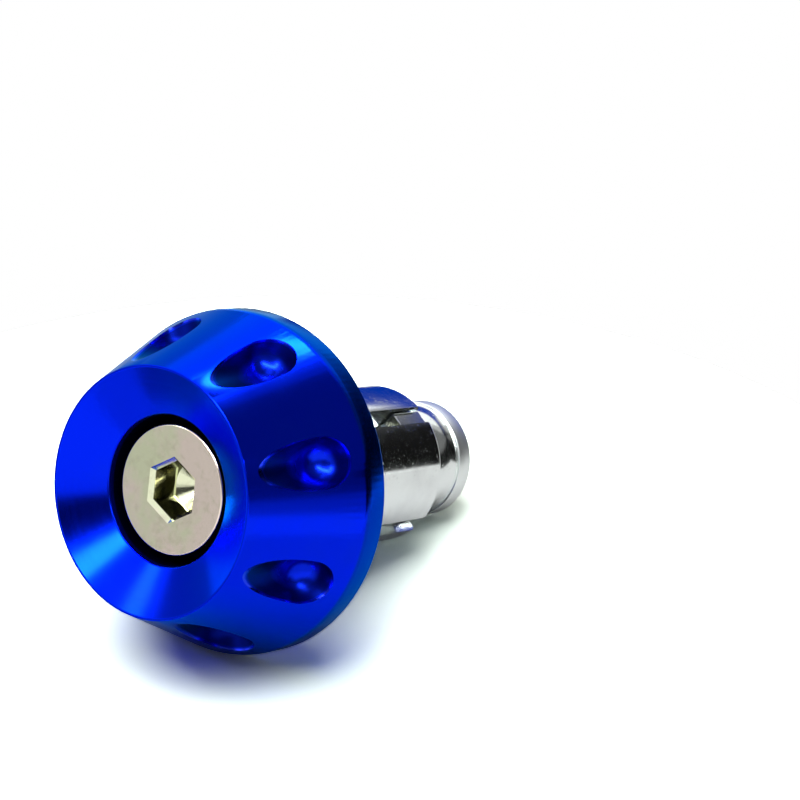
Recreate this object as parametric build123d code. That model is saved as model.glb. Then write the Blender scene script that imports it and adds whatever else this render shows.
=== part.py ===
from build123d import *
import os
from math import atan, cos, degrees, radians, tan

# Bar end weight: a turned head, a socket bolt, a slotted expander sleeve and a cone nut.
# Y is the bar's axis: the head's front faces -Y and the sleeve enters the bar along +Y.
# +Z is up, and the origin is the centre of the seat that meets the grip's end.
# All sizes are millimetres and degrees.

# Head, turned from bar
head_diameter = 35.0
head_length = 15.0
land_width = 2.8            # straight band at the widest place, next to the grip
land_edge = 0.3             # broken edge between the band and the seat
front_diameter = 24.8
front_flat = 0.2            # width of the narrow flat left on the front rim
dish_depth = 2.6            # hollow cone in the front, from rim to bolt pocket
pocket_diameter = 15.0      # straight pocket round the bolt's head
seat_width = 1.1            # flat ring that meets the grip
recess_depth = 0.8          # hollow inside that ring
recess_slope = 1.4          # radial run of the hollow's sloping side
bolt_hole_clearance = 0.5   # radial, bolt to head

# Dimples, milled round the taper by a ball cutter that runs along the axis
dimple_count = 8
dimple_radius = 2.55
dimple_floor = 12.9         # distance of the dimples' floor from the axis
dimple_end = 6.95           # place of the ball's centre behind the seat
dimple_turn = 29.85         # angle of the first dimple from +X towards +Z

# Bolt, M8 with a low socket head
thread_diameter = 8.0
bolt_head_diameter = 13.0
bolt_head_height = 5.0
bolt_head_edge = 0.15
bolt_sunk = 0.75            # head's top below the pocket's mouth
bolt_length = 42.0          # under the head
bolt_tip_edge = 0.8
hex_flats = 5.0
hex_depth = 3.6
hex_edge = 0.4              # width of the lead-in along each side of the socket
hex_lead = 0.45             # depth of that lead-in
hex_turn = 40.0             # angle of a corner from +X towards +Z
drill_point = 60.0          # half angle of the cone under the socket

# Sleeve, turned and sawn into fingers
sleeve_diameter = 17.0
sleeve_reach = 23.0         # from the grip's seat to the fingers' ends
sleeve_bore_diameter = 10.8
sleeve_edge = 0.4
mouth_diameter = 13.1       # hollow cone at the fingers' ends
cone_half_angle = 11.0
slot_count = 4
slot_width = 2.1
slot_start = 5.2            # where the cut begins on the outside, from the grip's seat
saw_radius = 15.0
saw_past_axis = 1.0         # how far the blade passes the axis
slot_turn = 60.25           # angle of the first slot from +X towards +Z

# Nut, a cone with a ring and a lip outside the sleeve
cone_gap = 0.15             # between cone and mouth, square to the cone
cone_inside = 7.0           # cone inside the sleeve
collar_width = 1.6          # straight part that shows past the fingers
groove_diameter = 10.8
groove_width = 1.1
ring_diameter = 12.2
ring_length = 3.7
ring_nose = 0.5             # radial fall of the ring's rounded-off start
ring_nose_length = 1.8
lip_diameter = 12.8
lip_length = 2.4
lip_edge = 0.3
nut_mouth_edge = 0.8        # chamfer round the threaded hole
thread_clearance = 0.05     # radial, nut on bolt
key_every = 2               # a key in every second slot
key_clearance = 0.15        # each side, key in slot
key_diameter = 15.6
key_inside = 4.6            # key inside the slot, from the fingers' ends

# Places that more than one piece shares
head_radius = head_diameter / 2
sleeve_radius = sleeve_diameter / 2
thread_radius = thread_diameter / 2
mouth_radius = mouth_diameter / 2
cone_slope = tan(radians(cone_half_angle))
pocket_mouth = dish_depth - head_length
bolt_top = pocket_mouth + bolt_sunk
bolt_seat = bolt_top + bolt_head_height


def turned(*corners):
    """Solid of revolution about the bar's axis, from corners given as radius and place along Y."""
    return revolve(make_face(Polyline(*corners, close=True)), Axis.Y)


def turn_about_bar(solid, angle):
    """The solid, turned about the bar's axis by an angle from +X towards +Z."""
    return Rot(0, -angle, 0) * solid


def head():
    """Truncated cone with a dished front, a bolt pocket, a hollow seat and a ring of dimples."""
    hole_radius = thread_radius + bolt_hole_clearance
    recess_radius = head_radius - land_edge - seat_width
    front_radius = front_diameter / 2
    pocket_radius = pocket_diameter / 2
    body = turned(
        (hole_radius, -recess_depth),
        (recess_radius - recess_slope, -recess_depth),
        (recess_radius, 0),
        (head_radius - land_edge, 0),
        (head_radius, -land_edge),
        (head_radius, -land_width),
        (front_radius, -head_length),
        (front_radius - front_flat, -head_length),
        (pocket_radius, pocket_mouth),
        (pocket_radius, bolt_seat),
        (hole_radius, bolt_seat),
    )
    run = head_length
    cutter = Sphere(dimple_radius) + Pos(0, -run / 2, 0) * Rot(90, 0, 0) * Cylinder(dimple_radius, run)
    cutter = Pos(dimple_floor + dimple_radius, -dimple_end, 0) * cutter
    for number in range(dimple_count):
        body -= turn_about_bar(cutter, dimple_turn + number * 360 / dimple_count)
    return body


def clamp_bolt():
    """Low-head bolt with a hexagon socket. Its thread is a plain cylinder of the nominal size."""
    head_edge_radius = bolt_head_diameter / 2
    tip = bolt_seat + bolt_length
    body = turned(
        (0, bolt_top),
        (head_edge_radius - bolt_head_edge, bolt_top),
        (head_edge_radius, bolt_top + bolt_head_edge),
        (head_edge_radius, bolt_seat),
        (thread_radius, bolt_seat),
        (thread_radius, tip - bolt_tip_edge),
        (thread_radius - bolt_tip_edge, tip),
        (0, tip),
    )
    across = hex_flats / 2
    hexagon = RegularPolygon(radius=across, side_count=6, major_radius=False)
    socket = Pos(0, bolt_top, 0) * Rot(-90, 0, 0) * extrude(hexagon, hex_depth)
    wide = RegularPolygon(radius=across + hex_edge, side_count=6, major_radius=False)
    lead = extrude(wide, hex_lead, taper=degrees(atan(hex_edge / hex_lead)))
    mouth = Pos(0, bolt_top, 0) * Rot(-90, 0, 0) * lead
    floor = bolt_top + hex_depth
    point = turned((0, floor), (across, floor), (0, floor + across / tan(radians(drill_point))))
    return body - turn_about_bar(socket, hex_turn) - turn_about_bar(mouth, hex_turn) - point


def expander_sleeve():
    """Tube with a hollow cone at its far end, sawn from that end into equal fingers."""
    bore_radius = sleeve_bore_diameter / 2
    mouth_start = sleeve_reach - (mouth_radius - bore_radius) / cone_slope
    tube = turned(
        (bore_radius, -recess_depth),
        (sleeve_radius, -recess_depth),
        (sleeve_radius, sleeve_reach - sleeve_edge),
        (sleeve_radius - sleeve_edge, sleeve_reach),
        (mouth_radius, sleeve_reach),
        (bore_radius, mouth_start),
    )
    blade_height = saw_radius - saw_past_axis
    blade_run = (saw_radius**2 - (blade_height - sleeve_radius) ** 2) ** 0.5
    blade_end = slot_start + blade_run
    stroke = sleeve_reach
    blade = Cylinder(saw_radius, slot_width) + Pos(0, stroke / 2, 0) * Box(2 * saw_radius, stroke, slot_width)
    blade = Pos(blade_height, blade_end, 0) * blade
    for number in range(slot_count):
        tube -= turn_about_bar(blade, slot_turn + number * 360 / slot_count)
    return tube


def cone_nut():
    """Cone that spreads the fingers, a collar, a ring and lip outside the sleeve, and keys in the slots."""
    hole_radius = thread_radius + thread_clearance
    groove_radius = groove_diameter / 2
    ring_radius = ring_diameter / 2
    lip_radius = lip_diameter / 2
    collar_radius = mouth_radius - cone_gap / cos(radians(cone_half_angle))
    cone_start = sleeve_reach - cone_inside
    collar_end = sleeve_reach + collar_width
    ring_start = collar_end + groove_width
    lip_start = ring_start + ring_length
    lip_end = lip_start + lip_length
    body = turned(
        (hole_radius, cone_start),
        (collar_radius - cone_inside * cone_slope, cone_start),
        (collar_radius, sleeve_reach),
        (collar_radius, collar_end),
        (groove_radius, collar_end),
        (groove_radius, ring_start),
        (ring_radius - ring_nose, ring_start),
        (ring_radius, ring_start + ring_nose_length),
        (ring_radius, lip_start),
        (lip_radius, lip_start),
        (lip_radius, lip_end - lip_edge),
        (lip_radius - lip_edge, lip_end),
        (hole_radius + nut_mouth_edge, lip_end),
        (hole_radius, lip_end - nut_mouth_edge),
    )
    key_radius = key_diameter / 2
    key_root = (hole_radius + groove_radius) / 2
    outline = Polyline(
        (key_root, sleeve_reach - key_inside),
        (key_radius, sleeve_reach - key_inside),
        (key_radius, sleeve_reach),
        (groove_radius, ring_start),
        (key_root, ring_start),
        close=True,
    )
    key = extrude(make_face(outline), slot_width / 2 - key_clearance, both=True)
    for number in range(0, slot_count, key_every):
        body += turn_about_bar(key, slot_turn + number * 360 / slot_count)
    return body


os.makedirs("parts", exist_ok=True)
for name, solid in {
    "head": head(),
    "clamp_bolt": clamp_bolt(),
    "expander_sleeve": expander_sleeve(),
    "cone_nut": cone_nut(),
}.items():
    export_step(solid, f"parts/{name}.step")
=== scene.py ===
from math import atan2, ceil, cos, hypot, pi, radians, sin, sqrt, tan

import bmesh
import bpy
from bpy.props import FloatProperty, FloatVectorProperty, IntProperty, PointerProperty
from mathutils import Matrix, Vector


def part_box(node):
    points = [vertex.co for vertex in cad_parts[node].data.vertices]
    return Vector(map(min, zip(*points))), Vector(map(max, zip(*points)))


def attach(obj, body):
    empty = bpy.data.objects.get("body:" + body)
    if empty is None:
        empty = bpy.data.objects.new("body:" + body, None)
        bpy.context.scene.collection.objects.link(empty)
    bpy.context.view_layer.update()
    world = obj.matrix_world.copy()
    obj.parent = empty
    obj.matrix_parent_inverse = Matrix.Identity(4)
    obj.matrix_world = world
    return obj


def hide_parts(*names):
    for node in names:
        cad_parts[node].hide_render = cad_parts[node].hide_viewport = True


bl_info = {
    "name": "Bar End Weight",
    "version": (1, 0, 0),
    "blender": (4, 5, 0),
    "location": "3D View > Sidebar > Bar End",
    "description": "Models a clamp-in bar end weight on its frame and sets the stage for it",
    "category": "Object",
}

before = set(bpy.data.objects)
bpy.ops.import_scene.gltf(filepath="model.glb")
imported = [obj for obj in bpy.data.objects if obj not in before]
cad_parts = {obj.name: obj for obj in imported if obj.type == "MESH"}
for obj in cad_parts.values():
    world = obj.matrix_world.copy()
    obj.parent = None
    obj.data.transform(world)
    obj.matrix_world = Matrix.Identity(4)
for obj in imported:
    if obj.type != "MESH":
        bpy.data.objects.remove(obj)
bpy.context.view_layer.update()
head_low, head_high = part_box("head")
bolt_low, bolt_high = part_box("clamp_bolt")
sleeve_low, sleeve_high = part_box("expander_sleeve")
_, nut_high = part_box("cone_nut")
MM = 0.001

# Steps round the turned pieces, the tools that cut them, the table and a rounded corner
HEAD_STEPS = 480
BOLT_STEPS = 360
SLEEVE_STEPS = 256
NUT_STEPS = 256
THREAD_STEPS = 72
BALL_STEPS = 144
SAW_STEPS = 192
TABLE_STEPS = 96
CORNER_STEPS = 3

# How near points lie that touch, and those that share a place along the bar
TOUCHING = 1e-7
LEVEL = 1e-5

# Half the turn of one side of a hexagon
HALF_SIDE = radians(30)


def length(name, description, default):
    """A size in metres."""
    return FloatProperty(name=name, description=description, default=default, unit="LENGTH", precision=5)


def angle(name, description, degrees_of_turn):
    """An angle, given in degrees."""
    return FloatProperty(
        name=name, description=description, default=radians(degrees_of_turn), subtype="ANGLE")


def colour(name, description, default):
    """A surface colour, as linear red, green and blue."""
    return FloatVectorProperty(
        name=name, description=description, default=default, size=3, subtype="COLOR", min=0, max=1)


def factor(name, description, default):
    """A number from 0 to 1."""
    return FloatProperty(name=name, description=description, default=default, subtype="FACTOR", min=0, max=1)


class HeadSizes(bpy.types.PropertyGroup):
    """Sizes of the turned head, with places measured along the bar from the grip's seat."""

    diameter: length("Diameter", "Across the land, the widest place", head_high.x - head_low.x)
    front: length("Front", "Place of the front rim", head_low.y)
    land: length("Land", "Width of the straight band next to the grip", 2.8 * MM)
    land_edge: length("Land edge", "Broken edge between the band and the seat", 0.3 * MM)
    land_blend: length("Land blend", "Rounding between the band and the taper", 0.5 * MM)
    front_diameter: length("Front diameter", "Outside of the front rim", 24.8 * MM)
    front_flat: length("Front flat", "Width of the narrow flat on the front rim", 0.2 * MM)
    dish: length("Dish", "Depth of the hollow cone in the front", 2.6 * MM)
    pocket: length("Pocket", "Diameter of the pocket round the bolt's head", 15.0 * MM)
    pocket_floor: length("Pocket floor", "Place of the floor under the bolt's head", -6.65 * MM)
    seat: length("Seat", "Width of the flat ring that meets the grip", 1.1 * MM)
    recess: length("Recess", "Depth of the hollow inside the seat", 0.8 * MM)
    recess_slope: length("Recess slope", "Radial run of the hollow's sloping side", 1.4 * MM)
    hole: length("Hole", "Diameter of the bolt's hole", 9.0 * MM)
    dimples: IntProperty(name="Dimples", description="Ball-ended cuts round the taper", default=8, min=0)
    dimple_radius: length("Dimple radius", "Radius of the ball cutter", 2.55 * MM)
    dimple_floor: length("Dimple floor", "Distance of the dimples' floor from the axis", 12.9 * MM)
    dimple_end: length("Dimple end", "Place of the ball's centre", -6.95 * MM)
    dimple_turn: angle("Dimple turn", "First dimple, from +X towards +Z", 29.85)


class BoltSizes(bpy.types.PropertyGroup):
    """Sizes of the socket bolt."""

    top: length("Top", "Place of the head's top", bolt_low.y)
    tip: length("Tip", "Place of the tip", bolt_high.y)
    head_diameter: length("Head diameter", "Across the round head", bolt_high.x - bolt_low.x)
    head_height: length("Head height", "Height of the head", 5.0 * MM)
    head_edge: length("Head edge", "Broken edge round the head's top", 0.15 * MM)
    thread: length("Thread", "Outside diameter of the thread", 8.0 * MM)
    pitch: length("Pitch", "Rise of the thread in one turn", 1.25 * MM)
    root: length("Root", "Diameter at the thread's root", 6.65 * MM)
    thread_start: length("Thread start", "Where the plain shank ends", 10.0 * MM)
    thread_run: length("Thread run", "Length of the step from the shank to the thread's root", 0.5 * MM)
    tip_edge: length("Tip edge", "Chamfer round the tip", 0.8 * MM)
    hexagon: length("Hexagon", "Socket across its flats", 5.0 * MM)
    hexagon_depth: length("Hexagon depth", "Depth of the socket's walls", 3.6 * MM)
    hexagon_edge: length("Hexagon edge", "Width of the lead-in along each side of the socket", 0.4 * MM)
    hexagon_lead: length("Hexagon lead", "Depth of that lead-in", 0.45 * MM)
    hexagon_turn: angle("Hexagon turn", "One corner, from +X towards +Z", 40.0)
    drill_point: angle("Drill point", "Half angle of the cone under the socket", 60.0)


class SleeveSizes(bpy.types.PropertyGroup):
    """Sizes of the slotted expander sleeve."""

    diameter: length("Diameter", "Outside of the sleeve", 17.0 * MM)
    start: length("Start", "Place of the end in the head's hollow", sleeve_low.y)
    reach: length("Reach", "Place of the fingers' ends", sleeve_high.y)
    bore: length("Bore", "Inside diameter", 10.8 * MM)
    edge: length("Edge", "Chamfer round the fingers' ends", 0.4 * MM)
    mouth: length("Mouth", "Diameter of the hollow cone at the fingers' ends", 13.1 * MM)
    cone: angle("Cone", "Half angle of the hollow cone", 11.0)
    slots: IntProperty(name="Slots", description="Saw cuts round the sleeve", default=4, min=0)
    slot_width: length("Slot width", "Thickness of the saw", 2.1 * MM)
    slot_start: length("Slot start", "Where the cuts begin on the outside", 5.2 * MM)
    saw_radius: length("Saw radius", "Radius of the saw blade", 15.0 * MM)
    saw_past_axis: length("Saw past axis", "How far the blade passes the axis", 1.0 * MM)
    slot_turn: angle("Slot turn", "First slot, from +X towards +Z", 60.25)


class NutSizes(bpy.types.PropertyGroup):
    """Sizes of the cone nut."""

    end: length("End", "Place of the lip's far face", nut_high.y)
    cone_inside: length("Cone inside", "Length of the cone inside the fingers", 7.0 * MM)
    cone_gap: length("Cone gap", "Gap between cone and fingers", 0.15 * MM)
    collar: length("Collar", "Straight part that shows past the fingers", 1.6 * MM)
    groove: length("Groove", "Diameter in the groove", 10.8 * MM)
    groove_width: length("Groove width", "Width of the groove", 1.1 * MM)
    ring: length("Ring", "Diameter of the ring", 12.2 * MM)
    ring_nose: length("Ring nose", "Radial fall of the ring's start", 0.5 * MM)
    ring_nose_length: length("Ring nose length", "Length of the ring's sloping start", 1.8 * MM)
    lip: length("Lip", "Diameter of the lip", 12.8 * MM)
    lip_width: length("Lip width", "Width of the lip", 2.4 * MM)
    lip_edge: length("Lip edge", "Chamfer on the lip's far edge", 0.3 * MM)
    mouth_edge: length("Mouth edge", "Chamfer round the threaded hole", 0.8 * MM)
    hole: length("Hole", "Diameter of the threaded hole", 8.1 * MM)
    key: length("Key", "Diameter over the keys", 15.6 * MM)
    key_inside: length("Key inside", "Length of a key inside the fingers", 4.6 * MM)
    key_gap: length("Key gap", "Gap each side of a key in its slot", 0.15 * MM)


class Finishes(bpy.types.PropertyGroup):
    """Colours and gloss of the surfaces."""

    blue: colour("Anodised blue", "Dyed skin of the head", (0.0006, 0.018, 0.93))
    blue_worn: colour("Worn blue", "Skin where handling has dulled it", (0.004, 0.030, 0.70))
    blue_edge: colour(
        "Blue at a low angle", "Tint of the head's skin seen along the surface", (0.46, 0.88, 1.0))
    # The land's darker blue is partly its duller turned skin and partly painted shade for the dark
    # surroundings it reflects.
    land_blue_and_shade: colour("Land blue", "Skin of the straight band next to the grip", (0.0012, 0.032, 0.55))
    # Painted shade: the pocket round the bolt's head is coloured near black, standing in for the shade
    # inside it.
    pocket_shade: colour(
        "Pocket", "Dull skin and dirt in the pocket round the bolt's head", (0.001, 0.002, 0.02))
    blue_gloss: factor("Blue roughness", "Roughness of the head", 0.15)
    # Painted shade: the dimples' steep sides are coloured much darker than their floor, standing in for the
    # shade inside them.
    dimple_wall_shade: colour("Dimple wall", "Skin on the steep sides of the dimples", (0.001, 0.006, 0.18))
    dimple_floor: colour("Dimple floor", "Skin at the bottom of the dimples", (0.003, 0.022, 0.82))
    # Painted highlight: a paler band along the dimples' sharp edges stands in for the light a rounded edge
    # catches.
    dimple_rim_highlight: colour("Dimple rim", "Thin skin along the sharp edges of the dimples", (0.03, 0.06, 1.0))
    plating: colour("Bolt plating", "Greenish tint of the bolt's zinc plating", (0.82, 0.86, 0.60))
    plating_tint: colour("Plating tint", "Pinkish tint of the bolt's zinc plating", (0.95, 0.82, 0.72))
    plating_dull: colour("Dull plating", "Stains on the bolt's plating", (0.62, 0.60, 0.42))
    # Painted shade: the socket's walls are coloured near black for the shade inside the socket.
    socket_wall_shade: colour("Socket wall", "Dull broached walls of the hexagon socket", (0.11, 0.11, 0.06))
    steel: colour("Bright steel", "Polished sleeve and nut", (0.92, 0.97, 0.95))
    steel_dull: colour("Dull steel", "Handling marks on the polished steel", (0.80, 0.84, 0.83))
    sleeve_gloss: factor("Sleeve roughness", "Roughness of the sleeve", 0.09)
    nut_gloss: factor("Nut roughness", "Roughness of the nut", 0.12)
    floor: colour("Floor", "White table", (0.95, 0.95, 0.95))
    floor_bounce: colour("Floor bounce", "The table in light thrown back by the part", (0.45, 0.48, 0.48))
    floor_seen: FloatVectorProperty(
        name="Floor in the picture", description="The table's white as the camera sees it",
        size=3, subtype="COLOR", min=0, max=4, default=(2.75, 3.05, 2.8))


class StageSizes(bpy.types.PropertyGroup):
    """Camera, table and light."""

    camera: FloatVectorProperty(
        name="Camera", description="Place of the camera", size=3, subtype="TRANSLATION",
        default=(133.811 * MM, -183.384 * MM, 69.416 * MM))
    look: FloatVectorProperty(
        name="Look", description="Direction of view", size=3, subtype="XYZ",
        default=(-0.526138, 0.814601, -0.244141))
    up: FloatVectorProperty(
        name="Up", description="Upright direction of the picture", size=3, subtype="XYZ",
        default=(-0.349345, 0.054708, 0.935396))
    lens: FloatProperty(
        name="Lens", description="Focal length on a 36 mm sensor, in millimetres", default=104.85)
    table: FloatVectorProperty(
        name="Table", description="Upright direction of the table the part lies on", size=3, subtype="XYZ",
        default=(-0.065876, -0.328868, 0.942075))
    drop: length("Drop", "Table below the origin, square to it", 16.43 * MM)
    fill: factor("Fill", "Level of the even light from all round", 0.04)


class BarEndSettings(bpy.types.PropertyGroup):
    """All sizes and finishes of the part."""

    head: PointerProperty(type=HeadSizes)
    bolt: PointerProperty(type=BoltSizes)
    sleeve: PointerProperty(type=SleeveSizes)
    nut: PointerProperty(type=NutSizes)
    finish: PointerProperty(type=Finishes)
    stage: PointerProperty(type=StageSizes)


# Modelling helpers


def section(bm, corners):
    """Half a lengthwise section as one face, from corners given as radius, place and rounding."""
    verts = [bm.verts.new((radius, place, 0)) for radius, place, _ in corners]
    bm.faces.new(verts)
    for vert, (_, _, rounding) in zip(verts, corners):
        if rounding:
            bmesh.ops.bevel(
                bm, geom=[vert], offset=rounding, offset_type="OFFSET", segments=CORNER_STEPS,
                profile=0.5, affect="VERTICES", material=-1)


def turn(bm, steps):
    """Spins the section round the bar into a skin, leaving out the lines that touch the axis."""
    bmesh.ops.delete(bm, geom=bm.faces[:], context="FACES_ONLY")
    on_axis = [vert for vert in bm.verts if vert.co.x < TOUCHING]
    bmesh.ops.delete(bm, geom=on_axis, context="VERTS")
    bmesh.ops.spin(
        bm, geom=bm.verts[:] + bm.edges[:], cent=(0, 0, 0), axis=(0, 1, 0), angle=2 * pi, steps=steps,
        use_merge=True)
    close_skin(bm)


def close_skin(bm):
    """Merges doubled points and turns the faces outwards."""
    bmesh.ops.remove_doubles(bm, verts=bm.verts[:], dist=TOUCHING)
    bmesh.ops.recalc_face_normals(bm, faces=bm.faces[:])


def open_ring(bm, place):
    """The open edges that lie at one place along the bar."""
    return [e for e in bm.edges if e.is_boundary and all(abs(v.co.y - place) < LEVEL for v in e.verts)]


def grow_ring(bm, ring, move):
    """Extrudes an open ring of edges and moves each new point with the function given."""
    grown = bmesh.ops.extrude_edge_only(bm, edges=ring)["geom"]
    for item in grown:
        if isinstance(item, bmesh.types.BMVert):
            item.co = move(item.co)
    return [e for e in grown if isinstance(e, bmesh.types.BMEdge) and e.is_boundary]


def thicken(bm, thickness):
    """Gives a flat outline a thickness along Z."""
    grown = bmesh.ops.extrude_face_region(bm, geom=bm.faces[:])["geom"]
    far_side = [item for item in grown if isinstance(item, bmesh.types.BMVert)]
    bmesh.ops.translate(bm, vec=(0, 0, thickness), verts=far_side)


def spaced(first, count, step=1):
    """Even turns about the bar, counted from the first."""
    return [first + number * 2 * pi / count for number in range(0, count, step)]


def turned_about_bar(turn_angle):
    """Rotation about the bar, positive from +X towards +Z."""
    return Matrix.Rotation(-turn_angle, 4, "Y")


def around(point):
    """Angle of a point round the bar, from +X towards +Z."""
    return atan2(point.z, point.x)


def mesh_object(bm, name):
    """Links the bmesh as an object at the origin."""
    mesh = bpy.data.meshes.new(name)
    bm.to_mesh(mesh)
    bm.free()
    obj = bpy.data.objects.new(name, mesh)
    bpy.context.scene.collection.objects.link(obj)
    return obj


def cut_or_join(obj, tool, operation):
    """Applies an exact boolean between two objects and removes the tool."""
    change = obj.modifiers.new(operation.title(), "BOOLEAN")
    change.operation = operation
    change.solver = "EXACT"
    change.object = tool
    evaluated = obj.evaluated_get(bpy.context.evaluated_depsgraph_get())
    mesh = bpy.data.meshes.new_from_object(evaluated)
    obj.modifiers.remove(change)
    old = obj.data
    obj.data = mesh
    mesh.name = old.name
    bpy.data.meshes.remove(old)
    tool_mesh = tool.data
    bpy.data.objects.remove(tool)
    bpy.data.meshes.remove(tool_mesh)


def finish_piece(obj, body, node, material, crease=35):
    """Shades a finished piece and puts it in the place of its node."""
    if not obj.data.polygons:
        raise RuntimeError(f"{obj.name} has no faces")
    obj.data.materials.clear()
    obj.data.materials.append(material)
    obj.data.shade_smooth()
    obj.data.set_sharp_from_angle(angle=radians(crease))
    shading = obj.modifiers.new("Even shading", "WEIGHTED_NORMAL")
    shading.keep_sharp = True
    shading.weight = 60
    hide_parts(node)
    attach(obj, body)


# Materials


class Nodes:
    """Short way to add and join the nodes of one material."""

    def __init__(self, name):
        self.material = bpy.data.materials.new(name)
        self.material.use_nodes = True
        self.tree = self.material.node_tree
        self.shader = self.tree.nodes["Principled BSDF"]
        self.object = self.add("ShaderNodeTexCoord").outputs["Object"]

    def add(self, kind, inputs=None, **settings):
        """Adds a node with its settings and feeds its inputs."""
        node = self.tree.nodes.new(kind)
        for name, value in settings.items():
            setattr(node, name, value)
        for name, value in (inputs or {}).items():
            self.feed(node.inputs[name], value)
        return node

    def feed(self, socket, value):
        """Joins the output of another node to an input, or sets the input's own value."""
        if isinstance(value, bpy.types.NodeSocket):
            self.tree.links.new(value, socket)
        else:
            socket.default_value = value

    def math(self, operation, first, second=0.0):
        return self.add("ShaderNodeMath", {0: first, 1: second}, operation=operation).outputs[0]

    def plus(self, total, *others):
        for other in others:
            total = self.math("ADD", total, other)
        return total

    def times(self, product, *others):
        for other in others:
            product = self.math("MULTIPLY", product, other)
        return product

    def spread(self, value, limits, to=(0.0, 1.0)):
        """Carries a value from between two limits to between two others, and no further."""
        node = self.add("ShaderNodeMapRange", {
            "Value": value, "From Min": limits[0], "From Max": limits[1], "To Min": to[0], "To Max": to[1]})
        return node.outputs["Result"]

    def noise(self, vector, scale, detail, rough):
        node = self.add(
            "ShaderNodeTexNoise", {"Vector": vector, "Scale": scale, "Detail": detail, "Roughness": rough})
        return node.outputs["Fac"]

    def blend(self, amount, first, second):
        """Mixes two colours, by the sockets that the node keeps for colours."""
        node = self.add("ShaderNodeMix", {"Factor": amount, 6: first, 7: second}, data_type="RGBA")
        return node.outputs[2]

    def places(self):
        """Distance from the bar's axis, and place along it."""
        parts = self.add("ShaderNodeSeparateXYZ", {"Vector": self.object}).outputs
        flat = self.add("ShaderNodeCombineXYZ", {"X": parts["X"], "Z": parts["Z"]}).outputs[0]
        distance = self.add("ShaderNodeVectorMath", {0: flat}, operation="LENGTH").outputs["Value"]
        return distance, parts["Y"]

    def rings(self):
        """The same two as a vector, so that a noise in it makes turning marks."""
        distance, along = self.places()
        return self.add("ShaderNodeCombineXYZ", {"X": distance, "Y": along}).outputs[0]

    def angle(self):
        """Angle round the bar."""
        parts = self.add("ShaderNodeSeparateXYZ", {"Vector": self.object}).outputs
        return self.math("ARCTAN2", parts["Z"], parts["X"])

    def bump(self, height, strength, distance):
        node = self.add("ShaderNodeBump", {"Height": height, "Strength": strength, "Distance": distance})
        self.tree.links.new(node.outputs["Normal"], self.shader.inputs["Normal"])

    def set(self, **values):
        """Feeds the shader's inputs, named in lower case."""
        for name, value in values.items():
            self.feed(self.shader.inputs[name.replace("_", " ").title()], value)


def opaque(rgb):
    """The colour with full cover."""
    return (*rgb, 1.0)


def anodised_blue(finish, s):
    """Bright blue anodised aluminium: turning marks, dulled patches, and chatter marks near the grip."""
    m = Nodes("anodised_blue")
    radius, along = m.places()
    marks = m.noise(m.rings(), scale=9000, detail=3.0, rough=0.6)
    patches = m.noise(m.object, scale=160, detail=4.0, rough=0.55)
    breaks = m.noise(m.object, scale=420, detail=3.0, rough=0.6)

    # Where the land, the pocket and the dimples are, with depth measured from the taper
    widest = s.diameter / 2
    front = s.front_diameter / 2
    pocket_wall = s.pocket / 2
    pocket_mouth = s.front + s.dish
    by_grip = m.spread(radius, (widest - 1.5 * MM, widest - 0.3 * MM))
    land = m.times(
        m.spread(radius, (widest - 0.30 * MM, widest - 0.15 * MM)),
        m.spread(along, (-s.land - 0.2 * MM, -s.land + 0.1 * MM)))
    # Painted shade: the pocket's wall round the bolt's head takes the near-black pocket colour.
    pocket = m.times(
        m.spread(radius, (pocket_wall, pocket_wall + 0.25 * MM), (1.0, 0.0)),
        m.spread(along, (pocket_mouth - 0.1 * MM, pocket_mouth + 0.8 * MM)))
    depth = m.math("SUBTRACT", m.spread(along, (s.front, -s.land), (front, widest)), radius)
    side = m.times(
        m.spread(radius, (front + 0.1 * MM, front + 0.3 * MM)),
        m.spread(along, (-s.land - 0.9 * MM, -s.land - 0.6 * MM), (1.0, 0.0)))
    dimple = m.times(side, m.spread(depth, (0.12 * MM, 0.40 * MM)))
    # Painted highlight: a thin paler band just inside the edge of each dimple.
    rim = m.times(
        side,
        m.spread(depth, (0.010 * MM, 0.025 * MM), (0.0, 0.85)),
        m.spread(depth, (0.13 * MM, 0.22 * MM), (1.0, 0.0)))
    wall_to_floor = (1.7 * MM, 2.5 * MM)

    worn = m.spread(patches, (0.50, 0.85), (0.0, 0.35))
    # Painted shade: each dimple darkens from its floor towards its steep sides.
    hollow = m.blend(
        m.spread(depth, wall_to_floor), opaque(finish.dimple_wall_shade), opaque(finish.dimple_floor))
    skin = m.blend(worn, opaque(finish.blue), opaque(finish.blue_worn))
    # Land colour: partly duller skin, partly painted shade.
    skin = m.blend(land, skin, opaque(finish.land_blue_and_shade))
    skin = m.blend(dimple, skin, hollow)
    skin = m.blend(rim, skin, opaque(finish.dimple_rim_highlight))
    m.set(
        base_color=m.blend(pocket, skin, opaque(finish.pocket_shade)),
        metallic=1.0,
        roughness=m.plus(
            m.spread(patches, (0.3, 0.8), (finish.blue_gloss - 0.02, finish.blue_gloss + 0.04)),
            m.spread(marks, (0.3, 0.7), (-0.01, 0.02)),
            m.times(land, 0.05),
            m.times(dimple, m.spread(depth, wall_to_floor, (0.20, 0.08))),
            m.times(pocket, 0.4)),
        specular_tint=opaque(finish.blue_edge),
    )
    ripples_round = 156
    ripple = m.times(
        m.math("SINE", m.times(m.angle(), ripples_round)),
        m.spread(breaks, (0.40, 0.62), (0.1, 1.0)),
        m.times(by_grip, 0.0022 * MM))
    m.bump(m.plus(ripple, m.times(marks, 0.0024 * MM)), 1.0, 1.0)
    return m.material


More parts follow.
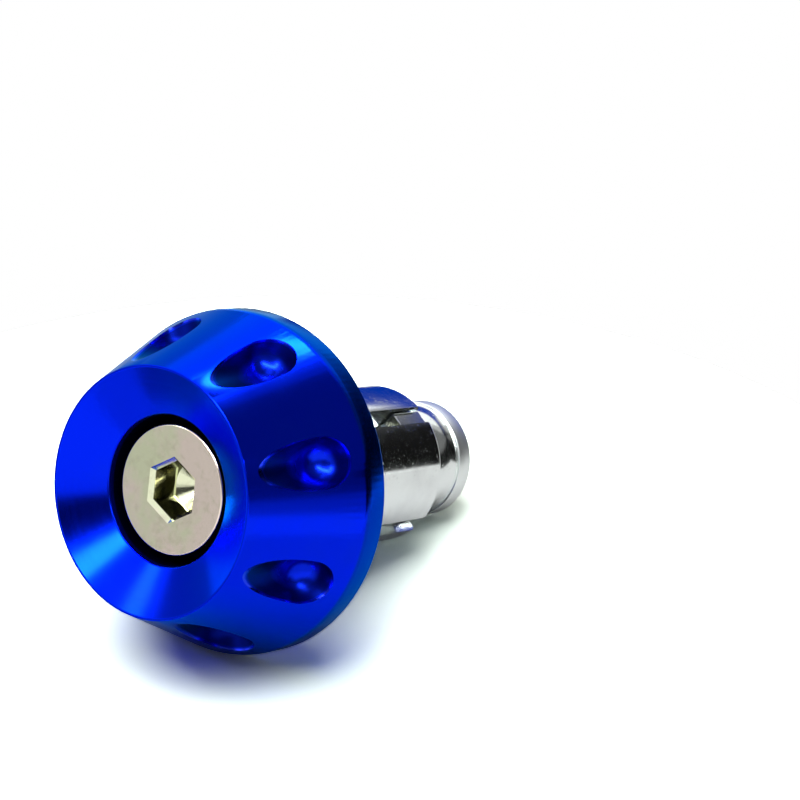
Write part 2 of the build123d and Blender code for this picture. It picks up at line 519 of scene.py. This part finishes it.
def warm_plating(finish, s):
    """Warm zinc plating with a cloudy tint, and painted shade on the broached walls of the socket."""
    m = Nodes("warm_plating")
    radius, along = m.places()
    across = m.add("ShaderNodeSeparateXYZ", {"Vector": m.object}).outputs["X"]
    clouds = m.noise(m.object, scale=210, detail=3.0, rough=0.6)
    spots = m.noise(m.object, scale=900, detail=4.0, rough=0.6)
    grain = m.noise(m.object, scale=5200, detail=2.0, rough=0.5)
    corner = s.hexagon / 2 / cos(HALF_SIDE)
    wall_start = s.top + s.hexagon_lead
    wall_end = s.top + s.hexagon_depth
    # Painted shade: near black on the socket's walls, between the lead-in and the floor.
    wall = m.times(
        m.spread(radius, (corner + 0.06 * MM, corner + 0.16 * MM), (1.0, 0.0)),
        m.spread(along, (wall_start - 0.05 * MM, wall_start + 0.05 * MM)),
        m.spread(along, (wall_end - 0.20 * MM, wall_end - 0.10 * MM), (1.0, 0.0)))
    edge = s.head_diameter / 2
    drift = m.plus(clouds, m.spread(across, (-edge, edge), (-0.12, 0.12)))
    tint = m.blend(m.spread(drift, (0.38, 0.62)), opaque(finish.plating), opaque(finish.plating_tint))
    tint = m.blend(m.spread(spots, (0.50, 0.75), (0.0, 0.45)), tint, opaque(finish.plating_dull))
    m.set(
        base_color=m.blend(wall, tint, opaque(finish.socket_wall_shade)),
        metallic=1.0,
        roughness=m.plus(
            m.spread(clouds, (0.3, 0.7), (0.13, 0.18)),
            m.spread(grain, (0.3, 0.7), (-0.03, 0.03))),
    )
    m.bump(grain, 0.05, 0.02 * MM)
    return m.material


def bright_steel(finish, name, gloss, satin_from):
    """Polished steel with turning marks, handling marks and pits, satin past a place along the bar."""
    m = Nodes(name)
    _, along = m.places()
    marks = m.noise(m.rings(), scale=7000, detail=3.0, rough=0.6)
    smears = m.noise(m.object, scale=260, detail=5.0, rough=0.6)
    pits = m.spread(m.noise(m.object, scale=2600, detail=3.0, rough=0.65), (0.64, 0.76))
    dull = m.spread(smears, (0.45, 0.80))
    m.set(
        base_color=m.blend(dull, opaque(finish.steel), opaque(finish.steel_dull)),
        metallic=1.0,
        roughness=m.plus(
            m.spread(along, (satin_from - 0.05 * MM, satin_from + 0.05 * MM), (0.0, 0.22)),
            m.spread(smears, (0.35, 0.75), (gloss, gloss + 0.07)),
            m.spread(marks, (0.3, 0.7), (-0.01, 0.02))),
    )
    m.bump(m.plus(m.times(marks, 0.0020 * MM), m.times(pits, 0.010 * MM)), 1.0, 1.0)
    return m.material


def white_table(finish):
    """Matt white table, darker in light thrown back by the part and brighter than white to the camera."""
    m = Nodes("white_table")
    grain = m.noise(m.object, scale=40, detail=3.0, rough=0.5)
    faint = 0.985
    shade = tuple(faint * value for value in finish.floor)
    path = m.add("ShaderNodeLightPath").outputs
    paper = m.blend(grain, opaque(shade), opaque(finish.floor))
    paper = m.blend(path["Diffuse Depth"], paper, opaque(finish.floor_bounce))
    m.set(
        base_color=m.blend(path["Is Camera Ray"], paper, opaque(finish.floor_seen)),
        roughness=0.9,
    )
    m.shader.inputs["Specular IOR Level"].default_value = 0.0
    return m.material


def glowing_card(name, shade):
    """Even glow of a card that throws back no light."""
    m = Nodes(name)
    m.set(
        base_color=(0.0, 0.0, 0.0, 1.0),
        roughness=1.0,
        emission_color=opaque(shade),
        emission_strength=1.0,
    )
    m.shader.inputs["Specular IOR Level"].default_value = 0.0
    return m.material


# Pieces


class BAREND_OT_head(bpy.types.Operator):
    """Turns the head and mills the dimples round its taper"""

    bl_idname = "bar_end.head"
    bl_label = "Head"

    def execute(self, context):
        settings = context.scene.bar_end
        s = settings.head
        bm = bmesh.new()
        self.turn_body(bm, s)
        head = mesh_object(bm, "head_turned")
        for cutter_turn in spaced(s.dimple_turn, s.dimples):
            cut_or_join(head, self.cutter(s, cutter_turn), "DIFFERENCE")
        finish_piece(
            head, "weight", "head", anodised_blue(settings.finish, s), crease=18)
        return {"FINISHED"}

    def turn_body(self, bm, s):
        radius = s.diameter / 2
        front = s.front_diameter / 2
        seat = radius - s.land_edge - s.seat
        section(bm, (
            (s.hole / 2, -s.recess, 0.10 * MM),
            (seat - s.recess_slope, -s.recess, 0.20 * MM),
            (seat, 0, 0.05 * MM),
            (radius - s.land_edge, 0, 0.10 * MM),
            (radius, -s.land_edge, 0.10 * MM),
            (radius, -s.land, s.land_blend),
            (front, s.front, 0.08 * MM),
            (front - s.front_flat, s.front, 0.08 * MM),
            (s.pocket / 2, s.front + s.dish, 0.15 * MM),
            (s.pocket / 2, s.pocket_floor, 0),
            (s.hole / 2, s.pocket_floor, 0),
        ))
        turn(bm, HEAD_STEPS)

    def cutter(self, s, cutter_turn):
        """Ball cutter with its shank and its stroke along the bar, from where it stops to past the front."""
        bm = bmesh.new()
        bmesh.ops.create_uvsphere(
            bm, u_segments=BALL_STEPS, v_segments=BALL_STEPS // 2, radius=s.dimple_radius)
        ahead = [v for v in bm.verts if v.co.y < -TOUCHING]
        bmesh.ops.translate(bm, vec=(0, s.front - s.dimple_end, 0), verts=ahead)
        shank = [v for v in bm.verts if v.co.x > TOUCHING]
        bmesh.ops.translate(bm, vec=(2 * s.dimple_radius, 0, 0), verts=shank)
        bmesh.ops.translate(bm, vec=(s.dimple_floor + s.dimple_radius, s.dimple_end, 0), verts=bm.verts[:])
        bmesh.ops.transform(bm, matrix=turned_about_bar(cutter_turn), verts=bm.verts[:])
        bmesh.ops.recalc_face_normals(bm, faces=bm.faces[:])
        return mesh_object(bm, "ball_cutter")


class BAREND_OT_bolt(bpy.types.Operator):
    """Turns the bolt, broaches its hexagon socket and cuts its thread"""

    bl_idname = "bar_end.bolt"
    bl_label = "Clamp bolt"

    def execute(self, context):
        settings = context.scene.bar_end
        s = settings.bolt
        bm = bmesh.new()
        self.turn_body(bm, s)
        self.broach_socket(bm, s)
        self.cut_thread(bm, s)
        bolt = mesh_object(bm, "clamp_bolt_plated")
        finish_piece(
            bolt, "bolt", "clamp_bolt", warm_plating(settings.finish, s), crease=25)
        return {"FINISHED"}

    def mouth(self, s):
        """Radius of a circle just outside the socket's mouth."""
        clearance = 0.05 * MM
        return (s.hexagon / 2 + s.hexagon_edge) / cos(HALF_SIDE) + clearance

    def turn_body(self, bm, s):
        radius = s.head_diameter / 2
        seat = s.top + s.head_height
        shank = s.thread / 2
        section(bm, (
            (0, s.top, 0),
            (self.mouth(s), s.top, 0),
            (radius - s.head_edge, s.top, 0.08 * MM),
            (radius, s.top + s.head_edge, 0.08 * MM),
            (radius, seat, 0.10 * MM),
            (shank, seat, 0),
            (shank, s.thread_start, 0),
            (0, s.thread_start, 0),
        ))
        turn(bm, BOLT_STEPS)

    def broach_socket(self, bm, s):
        """Grows the socket from the ring round its mouth: lead-in, walls, floor and the drill's cone."""
        flat = s.hexagon / 2
        floor = s.top + s.hexagon_depth
        drill = 0.97 * flat
        drill_tip = 0.06 * flat
        fall = 1 / tan(s.drill_point)

        def to_hexagon(point, half, place):
            side = (around(point) - s.hexagon_turn) % (2 * HALF_SIDE) - HALF_SIDE
            return to_circle(point, half / cos(side), place)

        def to_circle(point, radius, place):
            reach = radius / hypot(point.x, point.z)
            return Vector((point.x * reach, place, point.z * reach))

        def to_edge(point):
            return to_hexagon(point, flat + s.hexagon_edge, s.top)

        def to_walls(point):
            return to_hexagon(point, flat, s.top + s.hexagon_lead)

        def to_floor(point):
            return Vector((point.x, floor, point.z))

        def to_drill(point):
            return to_circle(point, drill, floor)

        def to_tip(point):
            return to_circle(point, drill_tip, floor + (drill - drill_tip) * fall)

        def to_point(_):
            return Vector((0, floor + drill * fall, 0))

        ring = open_ring(bm, s.top)
        for move in (to_edge, to_walls, to_floor, to_drill, to_tip, to_point):
            ring = grow_ring(bm, ring, move)
        close_skin(bm)

    def cut_thread(self, bm, s):
        """Winds the thread's ridge, trims it to the tip and joins it to the shank."""
        crest = s.thread / 2
        root = s.root / 2
        start = s.thread_start + s.thread_run
        rise = 1.2
        turns = ceil((s.tip - s.thread_start) / s.pitch) + 2
        begin = s.thread_start - s.pitch
        ridge = ((root, 0.0), (root, 0.12), (crest, 0.44), (crest, 0.56), (root, 0.88), (root, 1.0))
        winding = bmesh.new()
        verts = [winding.verts.new((radius, begin + share * s.pitch, 0)) for radius, share in ridge]
        for first, second in zip(verts, verts[1:]):
            winding.edges.new((first, second))
        bmesh.ops.spin(
            winding, geom=winding.verts[:] + winding.edges[:], cent=(0, 0, 0), axis=(0, 1, 0),
            dvec=(0, s.pitch / THREAD_STEPS, 0), angle=2 * pi * turns, steps=THREAD_STEPS * turns,
            use_merge=False)
        bmesh.ops.remove_doubles(winding, verts=winding.verts[:], dist=0.002 * MM)
        for place, normal in ((start, (0, -1, 0)), (s.tip, (0, 1, 0))):
            bmesh.ops.bisect_plane(
                winding, geom=winding.verts[:] + winding.edges[:] + winding.faces[:], dist=TOUCHING,
                plane_co=(0, place, 0), plane_no=normal, clear_outer=True)
        for vert in winding.verts:
            limit = min(crest - s.tip_edge + (s.tip - vert.co.y), root + (vert.co.y - start) * rise)
            reach = hypot(vert.co.x, vert.co.z)
            if reach > limit:
                vert.co.x *= limit / reach
                vert.co.z *= limit / reach
        bmesh.ops.holes_fill(winding, edges=open_ring(winding, s.tip), sides=0)
        thread = bpy.data.meshes.new("thread")
        winding.to_mesh(thread)
        winding.free()
        bm.from_mesh(thread)
        bpy.data.meshes.remove(thread)
        bmesh.ops.bridge_loops(bm, edges=open_ring(bm, s.thread_start) + open_ring(bm, start))
        close_skin(bm)


class BAREND_OT_sleeve(bpy.types.Operator):
    """Turns the sleeve and saws it into fingers"""

    bl_idname = "bar_end.sleeve"
    bl_label = "Expander sleeve"

    def execute(self, context):
        settings = context.scene.bar_end
        s = settings.sleeve
        bm = bmesh.new()
        self.turn_body(bm, s)
        sleeve = mesh_object(bm, "expander_sleeve_sawn")
        for blade_turn in spaced(s.slot_turn, s.slots):
            cut_or_join(sleeve, self.blade(s, blade_turn), "DIFFERENCE")
        finish_piece(
            sleeve, "weight", "expander_sleeve",
            bright_steel(settings.finish, "sleeve_steel", settings.finish.sleeve_gloss, s.reach))
        return {"FINISHED"}

    def turn_body(self, bm, s):
        bore = s.bore / 2
        mouth = s.mouth / 2
        radius = s.diameter / 2
        section(bm, (
            (bore, s.start, 0.10 * MM),
            (radius, s.start, 0.10 * MM),
            (radius, s.reach - s.edge, 0.14 * MM),
            (radius - s.edge, s.reach, 0.14 * MM),
            (mouth, s.reach, 0.10 * MM),
            (bore, s.reach - (mouth - bore) / tan(s.cone), 0),
        ))
        turn(bm, SLEEVE_STEPS)

    def blade(self, s, blade_turn):
        """Saw blade with its stroke, from where it stops to past the fingers' ends."""
        height = s.saw_radius - s.saw_past_axis
        run = sqrt(s.saw_radius ** 2 - (height - s.diameter / 2) ** 2)
        bm = bmesh.new()
        bmesh.ops.create_circle(bm, cap_ends=True, segments=SAW_STEPS, radius=s.saw_radius)
        ahead = [v for v in bm.verts if v.co.y > LEVEL]
        bmesh.ops.translate(bm, vec=(0, s.reach, 0), verts=ahead)
        thicken(bm, s.slot_width)
        bmesh.ops.translate(bm, vec=(height, s.slot_start + run, -s.slot_width / 2), verts=bm.verts[:])
        bmesh.ops.transform(bm, matrix=turned_about_bar(blade_turn), verts=bm.verts[:])
        bmesh.ops.recalc_face_normals(bm, faces=bm.faces[:])
        return mesh_object(bm, "saw_blade")


class BAREND_OT_nut(bpy.types.Operator):
    """Turns the cone nut and gives it keys that ride in the slots"""

    bl_idname = "bar_end.nut"
    bl_label = "Cone nut"

    def execute(self, context):
        settings = context.scene.bar_end
        s = settings.nut
        sleeve = settings.sleeve
        bm = bmesh.new()
        self.turn_body(bm, s, sleeve)
        nut = mesh_object(bm, "cone_nut_turned")
        for key_turn in spaced(sleeve.slot_turn, sleeve.slots, step=2):
            cut_or_join(nut, self.key(s, sleeve, key_turn), "UNION")
        finish_piece(
            nut, "nut", "cone_nut",
            bright_steel(settings.finish, "nut_steel", settings.finish.nut_gloss, s.end - s.lip_width))
        return {"FINISHED"}

    def turn_body(self, bm, s, sleeve):
        hole = s.hole / 2
        groove = s.groove / 2
        ring = s.ring / 2
        lip = s.lip / 2
        collar = sleeve.mouth / 2 - s.cone_gap / cos(sleeve.cone)
        cone_start = sleeve.reach - s.cone_inside
        collar_end = sleeve.reach + s.collar
        ring_start = collar_end + s.groove_width
        lip_start = s.end - s.lip_width
        section(bm, (
            (hole, cone_start, 0.08 * MM),
            (collar - s.cone_inside * tan(sleeve.cone), cone_start, 0.10 * MM),
            (collar, sleeve.reach, 0.10 * MM),
            (collar, collar_end, 0.12 * MM),
            (groove, collar_end, 0.15 * MM),
            (groove, ring_start, 0.08 * MM),
            (ring - s.ring_nose, ring_start, 0.08 * MM),
            (ring, ring_start + s.ring_nose_length, 0.60 * MM),
            (ring, lip_start, 0.12 * MM),
            (lip, lip_start, 0.10 * MM),
            (lip, s.end - s.lip_edge, 0.10 * MM),
            (lip - s.lip_edge, s.end, 0.10 * MM),
            (hole + s.mouth_edge, s.end, 0.08 * MM),
            (hole, s.end - s.mouth_edge, 0.08 * MM),
        ))
        turn(bm, NUT_STEPS)

    def key(self, s, sleeve, key_turn):
        """Flat key that rises from the cone and slopes down to the groove."""
        groove = s.groove / 2
        root = (s.hole / 2 + groove) / 2
        ring_start = sleeve.reach + s.collar + s.groove_width
        thickness = sleeve.slot_width - 2 * s.key_gap
        bm = bmesh.new()
        outline = (
            (root, sleeve.reach - s.key_inside),
            (s.key / 2, sleeve.reach - s.key_inside),
            (s.key / 2, sleeve.reach),
            (groove, ring_start),
            (root, ring_start),
        )
        bm.faces.new([bm.verts.new((radius, place, -thickness / 2)) for radius, place in outline])
        thicken(bm, thickness)
        bmesh.ops.recalc_face_normals(bm, faces=bm.faces[:])
        bmesh.ops.bevel(
            bm, geom=bm.edges[:], offset=0.08 * MM, offset_type="OFFSET", segments=2, profile=0.5,
            affect="EDGES", material=-1)
        bmesh.ops.transform(bm, matrix=turned_about_bar(key_turn), verts=bm.verts[:])
        return mesh_object(bm, "nut_key")


# Stage

PART_MIDDLE = 6 * MM
TABLE_RADIUS = 75 * MM
LAMP_DISTANCE = 2.6
CARD_DISTANCE = 3.5
CARD_COLUMNS = 36
CARD_ROWS = 10

# Lamps: name, azimuth and elevation in degrees, width and height in metres, brightness,
# whether the lamp reaches matt surfaces and whether it shows in reflections
LAMPS = (
    ("table_light", -128, 77, 2.5, 2.5, 3.3, True, False),
    ("back_light", 19, 53, 0.72, 0.55, 27.0, False, True),
    ("front_light", -133, 46, 0.50, 0.45, 25.0, False, True),
    ("side_light", -87, 39.5, 0.45, 0.45, 7.0, False, True),
    ("high_light", 176, 59, 3.2, 0.40, 18.0, False, True),
)

# Cards: name, left and right side and lower and upper side in degrees, and brightness
CARDS = (
    ("ceiling", -180, 180, 66, 76, 0.14),
    ("right_high", 58, 118, 14, 66, 0.16),
    ("right_mid", 46, 58, 20, 66, 0.45),
    ("right_low", 46, 112, -10.5, 14, 0.006),
    ("right_gap", 46, 58, 14, 20, 0.03),
    ("right_edge", 112, 126, 5, 14, 0.16),
    ("right_foot", 112, 126, -5, 5, 0.45),
    ("right_near", 36, 46, 4, 22, 0.10),
    ("right_far", 26, 36, 4, 22, 0.34),
    ("behind", 118, 196, 14, 54, 0.13),
    ("back_left", -32, -9, -20, 27, 0.55),
    ("back_foot", -9, 6, -22, -8, 0.35),
    ("left_low", -80, -55, 2, 28, 0.40),
    ("left_mid", -126, -80, -14, 16, 0.54),
    ("front_band", -170, -144, 21, 39, 0.02),
)


class BAREND_OT_stage(bpy.types.Operator):
    """Lays the part on a white table with soft light, grey cards and the camera"""

    bl_idname = "bar_end.stage"
    bl_label = "Stage"

    def execute(self, context):
        settings = context.scene.bar_end
        s = settings.stage
        scene = context.scene
        look = Vector(s.look).normalized()
        self.up = Vector(s.table).normalized()
        self.away = (look - look.dot(self.up) * self.up).normalized()
        self.right = self.away.cross(self.up)
        self.centre = Vector((0, PART_MIDDLE, 0))
        self.ground = self.foot(s)
        self.place_camera(scene, s, look)
        self.lay_table(settings)
        self.set_world(scene, s)
        for lamp in LAMPS:
            self.softbox(*lamp)
        for card in CARDS:
            self.card(*card)
        self.table_card("left_table", left=-80, right=-42, near=-24, far=-1, level=0.3)
        self.standing_card("back_card", left=5, right=80, far=72, height=36, shade=(0.0, 0.03, 0.36))
        scene.view_settings.view_transform = "Standard"
        return {"FINISHED"}

    def direction(self, azimuth, elevation):
        """Direction from the part, with azimuth 0 away from the camera and positive to the right."""
        a = radians(azimuth)
        e = radians(elevation)
        return cos(e) * (sin(a) * self.right + cos(a) * self.away) + sin(e) * self.up

    def place_camera(self, scene, s, look):
        right = look.cross(Vector(s.up)).normalized()
        up = right.cross(look)
        data = bpy.data.cameras.new("camera")
        data.sensor_width = 36
        data.lens = s.lens
        data.clip_start = 0.01
        camera = bpy.data.objects.new("camera", data)
        turn_in = Matrix((right, up, -look)).transposed().to_4x4()
        camera.matrix_world = Matrix.Translation(Vector(s.camera)) @ turn_in
        scene.collection.objects.link(camera)
        scene.camera = camera

    def lay_table(self, settings):
        bm = bmesh.new()
        bmesh.ops.create_circle(bm, cap_ends=True, segments=TABLE_STEPS, radius=TABLE_RADIUS)
        tilt = self.up.to_track_quat("Z", "Y").to_matrix().to_4x4()
        bmesh.ops.transform(bm, matrix=Matrix.Translation(self.ground) @ tilt, verts=bm.verts[:])
        table = mesh_object(bm, "table")
        table.data.materials.append(white_table(settings.finish))

    def foot(self, s):
        """Point of the table under the middle of the part."""
        return self.centre - (self.centre.dot(self.up) + s.drop) * self.up

    def set_world(self, scene, s):
        """Faint even light on matt surfaces, and plain white to the camera and in reflections."""
        world = bpy.data.worlds.new("even_light")
        world.use_nodes = True
        tree = world.node_tree
        tree.nodes.clear()

        def math(operation, first, second):
            node = tree.nodes.new("ShaderNodeMath")
            node.operation = operation
            tree.links.new(first, node.inputs[0])
            tree.links.new(second, node.inputs[1])
            return node.outputs[0]

        def white(strength):
            node = tree.nodes.new("ShaderNodeBackground")
            node.inputs["Color"].default_value = (1, 1, 1, 1)
            node.inputs["Strength"].default_value = strength
            return node.outputs[0]

        path = tree.nodes.new("ShaderNodeLightPath").outputs
        mirrored = math("SUBTRACT", path["Is Glossy Ray"], path["Diffuse Depth"])
        seen = math("MAXIMUM", path["Is Camera Ray"], mirrored)
        seen = math("MAXIMUM", seen, path["Is Transmission Ray"])
        either = tree.nodes.new("ShaderNodeMixShader")
        tree.links.new(seen, either.inputs["Fac"])
        tree.links.new(white(s.fill), either.inputs[1])
        tree.links.new(white(1.0), either.inputs[2])
        output = tree.nodes.new("ShaderNodeOutputWorld")
        tree.links.new(either.outputs[0], output.inputs["Surface"])
        scene.world = world

    def softbox(self, name, azimuth, elevation, width, height, level, sheds, shows):
        """Lamp of an even brightness, aimed at the part."""
        data = bpy.data.lights.new(name, "AREA")
        data.shape = "RECTANGLE"
        data.size = width
        data.size_y = height
        data.energy = level * pi * width * height
        lamp = bpy.data.objects.new(name, data)
        aim = self.direction(azimuth, elevation)
        turn_in = aim.to_track_quat("Z", "Y").to_matrix().to_4x4()
        lamp.matrix_world = Matrix.Translation(self.centre + LAMP_DISTANCE * aim) @ turn_in
        lamp.visible_diffuse = sheds
        lamp.visible_glossy = shows
        bpy.context.scene.collection.objects.link(lamp)

    def card(self, name, left, right, low, high, level):
        """Curved grey card, beyond the lamps, with its sides in degrees."""
        def place(across, upward):
            aim = self.direction(left + (right - left) * across, low + (high - low) * upward)
            return self.centre + CARD_DISTANCE * aim

        self.hang(name, CARD_COLUMNS, CARD_ROWS, place, (level, level, level))

    def table_card(self, name, left, right, near, far, level):
        """Grey card on the table beside the picture, with sides in millimetres from the part's foot."""
        def place(across, along):
            return self.on_table(left + (right - left) * across, near + (far - near) * along, rise=1)

        self.hang(name, 1, 1, place, (level, level, level))

    def standing_card(self, name, left, right, far, height, shade):
        """Upright card on the table, with sides in millimetres from the part's foot."""
        def place(across, upward):
            return self.on_table(left + (right - left) * across, far, height * upward)

        self.hang(name, 1, 1, place, shade)

    def on_table(self, right, away, rise):
        """Point over the table, in millimetres from the part's foot."""
        return self.ground + right * MM * self.right + away * MM * self.away + rise * MM * self.up

    def hang(self, name, columns, rows, place, shade):
        """Makes a card, its points placed by two numbers from 0 to 1, that shows only in reflections."""
        bm = bmesh.new()
        bmesh.ops.create_grid(bm, x_segments=columns, y_segments=rows, size=1)
        for vert in bm.verts:
            vert.co = place((vert.co.x + 1) / 2, (vert.co.y + 1) / 2)
        card = mesh_object(bm, name)
        card.data.materials.append(glowing_card(name, shade))
        card.visible_camera = False
        card.visible_diffuse = False
        card.visible_shadow = False


class BAREND_PT_panel(bpy.types.Panel):
    """Lists the sizes of the pieces and the stage, and the finishes"""

    bl_idname = "BAREND_PT_panel"
    bl_label = "Bar End Weight"
    bl_space_type = "VIEW_3D"
    bl_region_type = "UI"
    bl_category = "Bar End"

    def draw(self, context):
        settings = context.scene.bar_end
        for piece, operator in (
            (settings.head, BAREND_OT_head),
            (settings.bolt, BAREND_OT_bolt),
            (settings.sleeve, BAREND_OT_sleeve),
            (settings.nut, BAREND_OT_nut),
            (settings.stage, BAREND_OT_stage),
        ):
            box = self.layout.box()
            box.operator(operator.bl_idname)
            for name in piece.bl_rna.properties.keys():
                if name not in ("rna_type", "name"):
                    box.prop(piece, name)
        box = self.layout.box()
        for name in settings.finish.bl_rna.properties.keys():
            if name not in ("rna_type", "name"):
                box.prop(settings.finish, name)


classes = (
    HeadSizes, BoltSizes, SleeveSizes, NutSizes, Finishes, StageSizes, BarEndSettings,
    BAREND_OT_head, BAREND_OT_bolt, BAREND_OT_sleeve, BAREND_OT_nut, BAREND_OT_stage, BAREND_PT_panel,
)


def register():
    for item in classes:
        bpy.utils.register_class(item)
    bpy.types.Scene.bar_end = PointerProperty(type=BarEndSettings)


def unregister():
    del bpy.types.Scene.bar_end
    for item in reversed(classes):
        bpy.utils.unregister_class(item)


def main():
    """Builds every piece and the stage."""
    register()
    bpy.ops.bar_end.head()
    bpy.ops.bar_end.bolt()
    bpy.ops.bar_end.sleeve()
    bpy.ops.bar_end.nut()
    bpy.ops.bar_end.stage()


if __name__ == "__main__":
    main()
